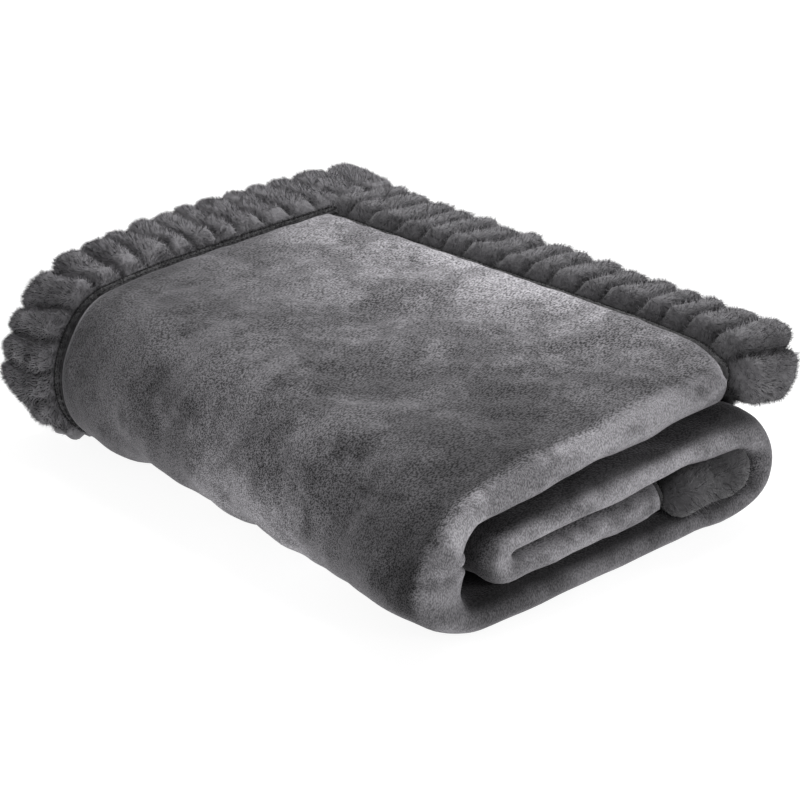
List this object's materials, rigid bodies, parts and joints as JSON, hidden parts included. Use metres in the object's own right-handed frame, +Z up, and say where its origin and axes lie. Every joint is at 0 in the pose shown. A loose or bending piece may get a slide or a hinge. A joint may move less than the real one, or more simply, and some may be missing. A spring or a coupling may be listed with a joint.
{
  "type": "folded throw blanket",
  "caption": "Plush flannel throw with a ribbed faux-fur border, folded in four plies and rolled up in four layers; its top layer opens over the front roll.",
  "frame": {"origin": "middle of the folded blanket's underside, where it rests", "axes": "+X along the rolls from the fur edge to the folded edge, +Y from the front roll to the back, +Z up"},
  "size_m": [0.5, 0.3789, 0.1345],
  "materials": {
    "flannel": "matte",
    "fur": "matte",
    "seam_band": "matte",
    "thread": "matte"
  },
  "bodies": {
    "folded_stack": {"front_roll_panel": "flannel", "bottom_panel": "flannel", "back_roll_panel": "flannel", "middle_panel": "flannel", "inner_roll_panel": "flannel", "inner_panel": "flannel", "front_roll_near_fur": "fur", "bottom_near_fur": "fur", "back_roll_near_fur": "fur", "middle_near_fur": "fur", "inner_roll_near_fur": "fur", "inner_near_fur": "fur", "front_roll_far_fur": "fur", "bottom_far_fur": "fur", "back_roll_far_fur": "fur", "middle_far_fur": "fur", "inner_roll_far_fur": "fur", "inner_far_fur": "fur", "front_roll_near_seam": "seam_band", "bottom_near_seam": "seam_band", "back_roll_near_seam": "seam_band", "middle_near_seam": "seam_band", "inner_roll_near_seam": "seam_band", "inner_near_seam": "seam_band", "front_roll_far_seam": "seam_band", "bottom_far_seam": "seam_band", "back_roll_far_seam": "seam_band", "middle_far_seam": "seam_band", "inner_roll_far_seam": "seam_band", "inner_far_seam": "seam_band", "front_roll_stitching": "thread", "back_roll_stitching": "thread", "inner_end_fur": "fur", "inner_end_seam": "seam_band"},
    "top_flap": {"top_panel": "flannel", "top_near_fur": "fur", "top_far_fur": "fur", "top_near_seam": "seam_band", "top_far_seam": "seam_band", "top_stitching": "thread", "top_back_fur": "fur", "top_back_seam": "seam_band", "top_back_stitching": "thread"}
  },
  "joints": [
    {"name": "top_fold", "type": "hinge", "parent": "folded_stack", "child": "top_flap", "pos_m": [0, -0.11775, 0.06275], "axis": [1, 0, 0], "range_deg": [0, 175], "deforming": ["front_roll_panel", "front_roll_near_fur", "front_roll_far_fur", "front_roll_near_seam", "front_roll_far_seam", "front_roll_stitching"]}
  ]
}
